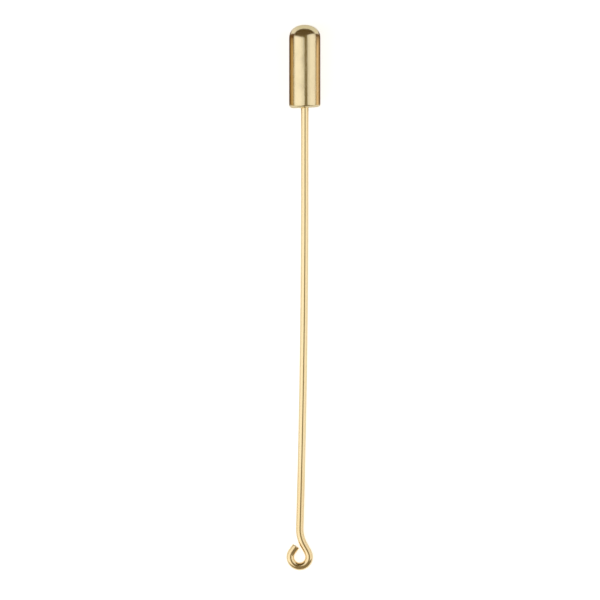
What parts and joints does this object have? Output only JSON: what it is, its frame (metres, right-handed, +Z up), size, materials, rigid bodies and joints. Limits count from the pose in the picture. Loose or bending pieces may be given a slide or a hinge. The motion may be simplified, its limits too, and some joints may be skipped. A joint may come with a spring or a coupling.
{
  "type": "lapel stick pin",
  "caption": "Long gilt wire pin with an open eye bent at one end and a bullet-shaped push-on clutch over its point.",
  "frame": {"origin": "middle of the pin's bounding box, on the surface that the pin lies on", "axes": "+Y along the pin towards the clutch's dome, +X to the right as pictured, +Z up off the surface"},
  "size_m": [0.0052, 0.084, 0.0051],
  "materials": {
    "gilt_wire": "bright gilt, drawn",
    "shell_brass": "polished, lightly tarnished",
    "washer_brass": "pressed, satin",
    "spring_brass": "rolled, satin"
  },
  "bodies": {
    "pin": {"pin_wire": "gilt_wire"},
    "grip": {"grip_sleeve": "spring_brass"},
    "clutch": {"clutch_shell": "shell_brass", "guide_washer": "washer_brass"}
  },
  "joints": [
    {"name": "clutch_pull", "type": "slide", "parent": "pin", "child": "grip", "axis": [0, 0.9997, 0.0253], "range_m": [-0.001, 0.015]},
    {"name": "clutch_turn", "type": "hinge", "parent": "grip", "child": "clutch", "pos_m": [0.00021, 0.02919, 0.00239], "axis": [0, 0.9997, 0.0253], "continuous": true}
  ]
}
